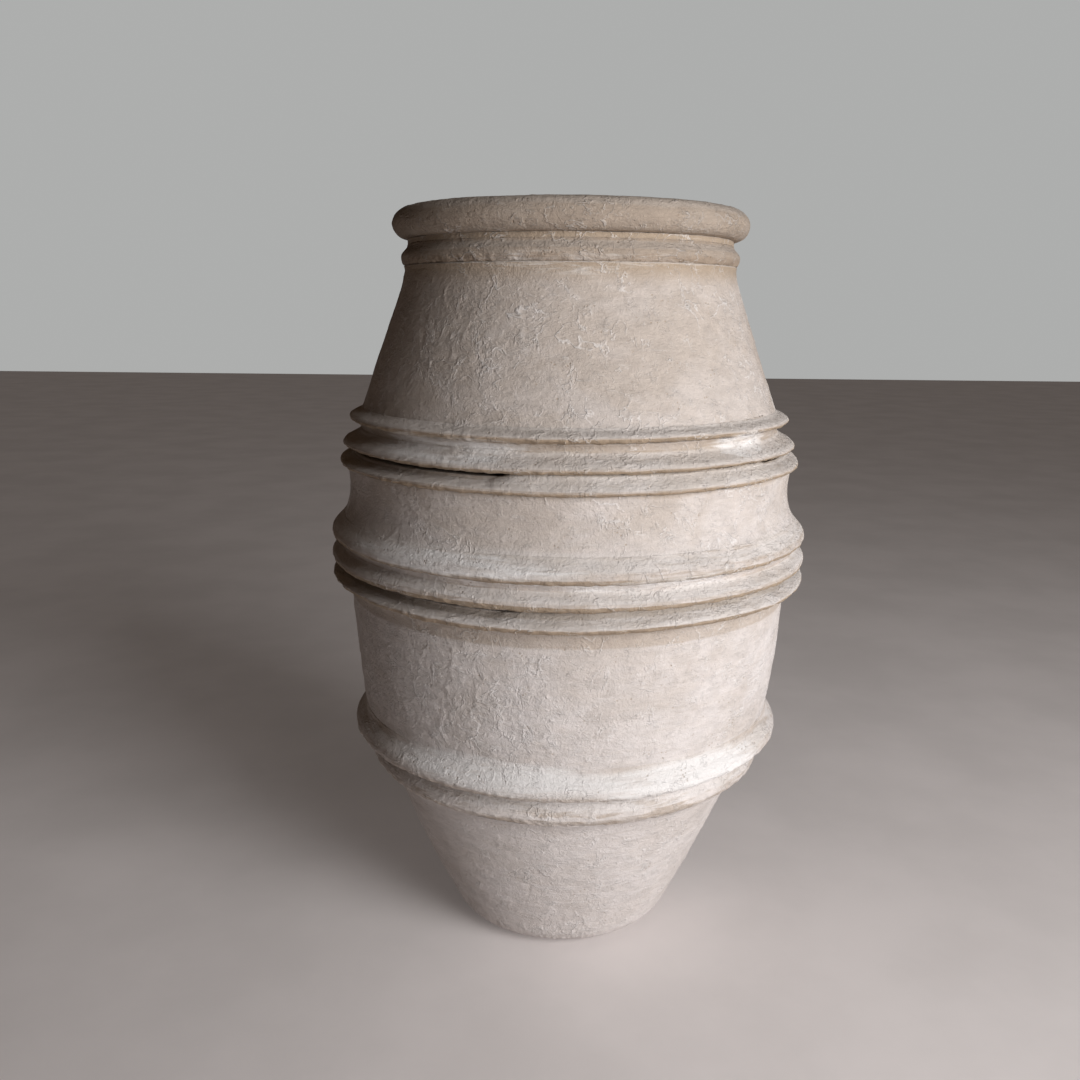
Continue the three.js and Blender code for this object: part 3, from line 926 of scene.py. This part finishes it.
# The lute sits deep in the joint slots; its near-black wash is painted shade, which makes the slots read
# black.
LUTE_SHADE_COLOURS = {
    "Wash": (0.12, 0.09, 0.065),
    "Stain": (0.07, 0.05, 0.035),
    "Clay": (0.045, 0.03, 0.02),
    "Chalk": (0.2, 0.17, 0.14),
}
RAW_COLOURS = {
    "Wash": (0.36, 0.26, 0.18),
    "Stain": (0.28, 0.19, 0.13),
    "Clay": (0.2, 0.13, 0.08),
    "Chalk": (0.45, 0.38, 0.32),
}

WALL_PLASTER = washed_material(
    "limewashed wall",
    WALL_COLOURS,
    {},
    {"Stained": 0.5, "Bare clay and shade": 0.45, "Ledge dust and highlight": 0.35, "Streaks": 0.25, "Shade under the rim": 0.8},
    0.9,
)
BAND_PLASTER = washed_material(
    "chalky band",
    BAND_COLOURS,
    {"Brush lines": 1.4, "Skin": 1.7, "Flecks": 0.9, "Pits": 0.8},
    {"Stained": 0.65, "Bare clay and shade": 0.9, "Ledge dust and highlight": 0.35, "Streaks": 0.85},
    0.9,
)
RIM_PLASTER = washed_material(
    "darker rim wash",
    RIM_COLOURS,
    {"Brush lines": 1.5, "Skin": 1.8, "Flecks": 1.1, "Pits": 0.9},
    {"Stained": 0.5, "Bare clay and shade": 0.35, "Ledge dust and highlight": 0.15, "Streaks": 0.9},
    0.88,
)
LUTE_IN_SHADE = washed_material(
    "lute in painted shade",
    LUTE_SHADE_COLOURS,
    {"Drag": 0.9, "Flecks": 0.2, "Pits": 1.0, "Grain": 0.3},
    {"Stained": 0.8, "Bare clay and shade": 0.5, "Ledge dust and highlight": 0.1},
    0.92,
)
RAW_CLAY = washed_material(
    "raw floor clay",
    RAW_COLOURS,
    {"Drag": 0.6, "Flecks": 0.2, "Pits": 0.8},
    {"Stained": 0.6, "Bare clay and shade": 0.3, "Ledge dust and highlight": 0.4},
    0.9,
)

FINISHES = {
    "limewashed_clay": WALL_PLASTER,
    "band_clay": BAND_PLASTER,
    "rim_clay": RIM_PLASTER,
    "lute": LUTE_IN_SHADE,
    "raw_clay": RAW_CLAY,
}


# ---------------------------------------------------------------------------------------------------
# The jar
# ---------------------------------------------------------------------------------------------------

def fineness(node):
    """Columns and face pitch of a piece."""
    if node in BANDS:
        return BAND_FINENESS
    return FINENESS.get(node, LUTE_FINENESS)


SLOT_OF = {row["node"]: row["material_slot"] for row in frame["record"]["subparts"]}
TURNINGS = {node: Turning(node, fineness(node)[1]) for node in SLOT_OF}
SECTIONS = [TURNINGS[node] for node in SLOT_OF if node.endswith("section")]
ENVELOPE = wall_radius_by_level(TURNINGS.values())
RELIEF, GRITTINESS = make_relief(wall_radius_by_level(SECTIONS))
BRUSHED_CHALK = make_chalk()
CRUMBLE = 0.8 * cloud(300, 220) + 0.4 * cloud(150, 120) + 0.7 * cloud(480, 380) - 0.1

for node, turning in TURNINGS.items():
    finish = SLOT_OF[node]
    make_piece(turning, fineness(node)[0], FINISHES[finish])


# ---------------------------------------------------------------------------------------------------
# Floor, light and camera
# ---------------------------------------------------------------------------------------------------

FLOOR_HALF_WIDTH = 14.0
FLOOR_DARK = (0.62, 0.575, 0.56, 1.0)
FLOOR_LIGHT = (0.68, 0.63, 0.615, 1.0)
FLOOR_GLOW = 0.12

# The window light: where it stands as seen from the jar, in degrees and metres, and its size and power.
WINDOW_AZIMUTH = 41
WINDOW_ELEVATION = 13
WINDOW_DISTANCE = 3.2
WINDOW_WIDTH = 1.7
WINDOW_HEIGHT = 2.4
WINDOW_POWER = 144
WINDOW_COLOUR = (0.985, 0.99, 1.0)

AMBIENT = (0.033, 0.020, 0.011)
BACKDROP = (0.42, 0.425, 0.42)

CAMERA_PLACE = (-0.0405, -1.5888, 0.959)
CAMERA_SENSOR = 36.0
CAMERA_LENS = 34.57
LOOKING_DOWN = math.radians(12.49)
CAMERA_ROLL = math.radians(0.57)


def make_floor():
    """A wide plain floor with a faint trowelled finish."""
    corners = [(-1, -1), (1, -1), (1, 1), (-1, 1)]
    mesh = bpy.data.meshes.new("floor")
    places = [(x * FLOOR_HALF_WIDTH, y * FLOOR_HALF_WIDTH, 0.0) for x, y in corners]
    mesh.from_pydata(places, [], [(0, 1, 2, 3)])
    material = bpy.data.materials.new("plain floor")
    material.use_nodes = True
    nodes = Nodes(material.node_tree)
    shader = material.node_tree.nodes["Principled BSDF"]
    cloudy = nodes.noise(nodes.place(), 3.0, 8.0, 0.55)
    colour = nodes.blend(nodes.fade(cloudy, 0.3, 0.7), FLOOR_DARK, FLOOR_LIGHT)
    nodes.put(shader.inputs["Base Color"], colour)
    nodes.put(shader.inputs["Emission Color"], colour)
    shader.inputs["Emission Strength"].default_value = FLOOR_GLOW
    shader.inputs["Roughness"].default_value = 0.8
    mesh.materials.append(material)
    floor = bpy.data.objects.new("floor", mesh)
    bpy.context.scene.collection.objects.link(floor)


def make_window():
    """A soft light, as a tall window gives, that looks at the middle of the jar."""
    light = bpy.data.lights.new("window", "AREA")
    light.shape = "RECTANGLE"
    light.size = WINDOW_WIDTH
    light.size_y = WINDOW_HEIGHT
    light.energy = WINDOW_POWER
    light.color = WINDOW_COLOUR
    lamp = bpy.data.objects.new("window", light)
    bearing = math.radians(WINDOW_AZIMUTH)
    rise = math.radians(WINDOW_ELEVATION)
    outward = math.cos(rise)
    away = Vector((math.sin(bearing) * outward, -math.cos(bearing) * outward, math.sin(rise)))
    lamp.location = Vector((0, 0, CAD_HIGH.z / 2)) + away * WINDOW_DISTANCE
    lamp.rotation_mode = "QUATERNION"
    lamp.rotation_quaternion = away.to_track_quat("Z", "Y")
    bpy.context.scene.collection.objects.link(lamp)


def make_world():
    """Dim even light all round, and a plain pale backdrop where the camera sees past the floor."""
    world = bpy.data.worlds.new("studio")
    world.use_nodes = True
    nodes = Nodes(world.node_tree)
    world.node_tree.nodes.clear()
    around = nodes.add("ShaderNodeBackground")
    around.inputs["Color"].default_value = (*AMBIENT, 1.0)
    behind = nodes.add("ShaderNodeBackground")
    behind.inputs["Color"].default_value = (*BACKDROP, 1.0)
    mix = nodes.add("ShaderNodeMixShader")
    nodes.put(mix.inputs[0], nodes.add("ShaderNodeLightPath").outputs["Is Camera Ray"])
    nodes.put(mix.inputs[1], around.outputs["Background"])
    nodes.put(mix.inputs[2], behind.outputs["Background"])
    nodes.put(nodes.add("ShaderNodeOutputWorld").inputs["Surface"], mix.outputs["Shader"])
    bpy.context.scene.world = world


def make_camera():
    """A camera at standing height, looking slightly down."""
    camera = bpy.data.objects.new("camera", bpy.data.cameras.new("camera"))
    camera.data.sensor_width = CAMERA_SENSOR
    camera.data.lens = CAMERA_LENS
    tilt = Matrix.Rotation(math.radians(90) - LOOKING_DOWN, 4, "X")
    roll = Matrix.Rotation(CAMERA_ROLL, 4, "Z")
    camera.matrix_world = Matrix.Translation(CAMERA_PLACE) @ tilt @ roll
    bpy.context.scene.collection.objects.link(camera)
    bpy.context.scene.camera = camera


make_floor()
make_window()
make_world()
make_camera()
bpy.context.scene.view_settings.view_transform = "Standard"
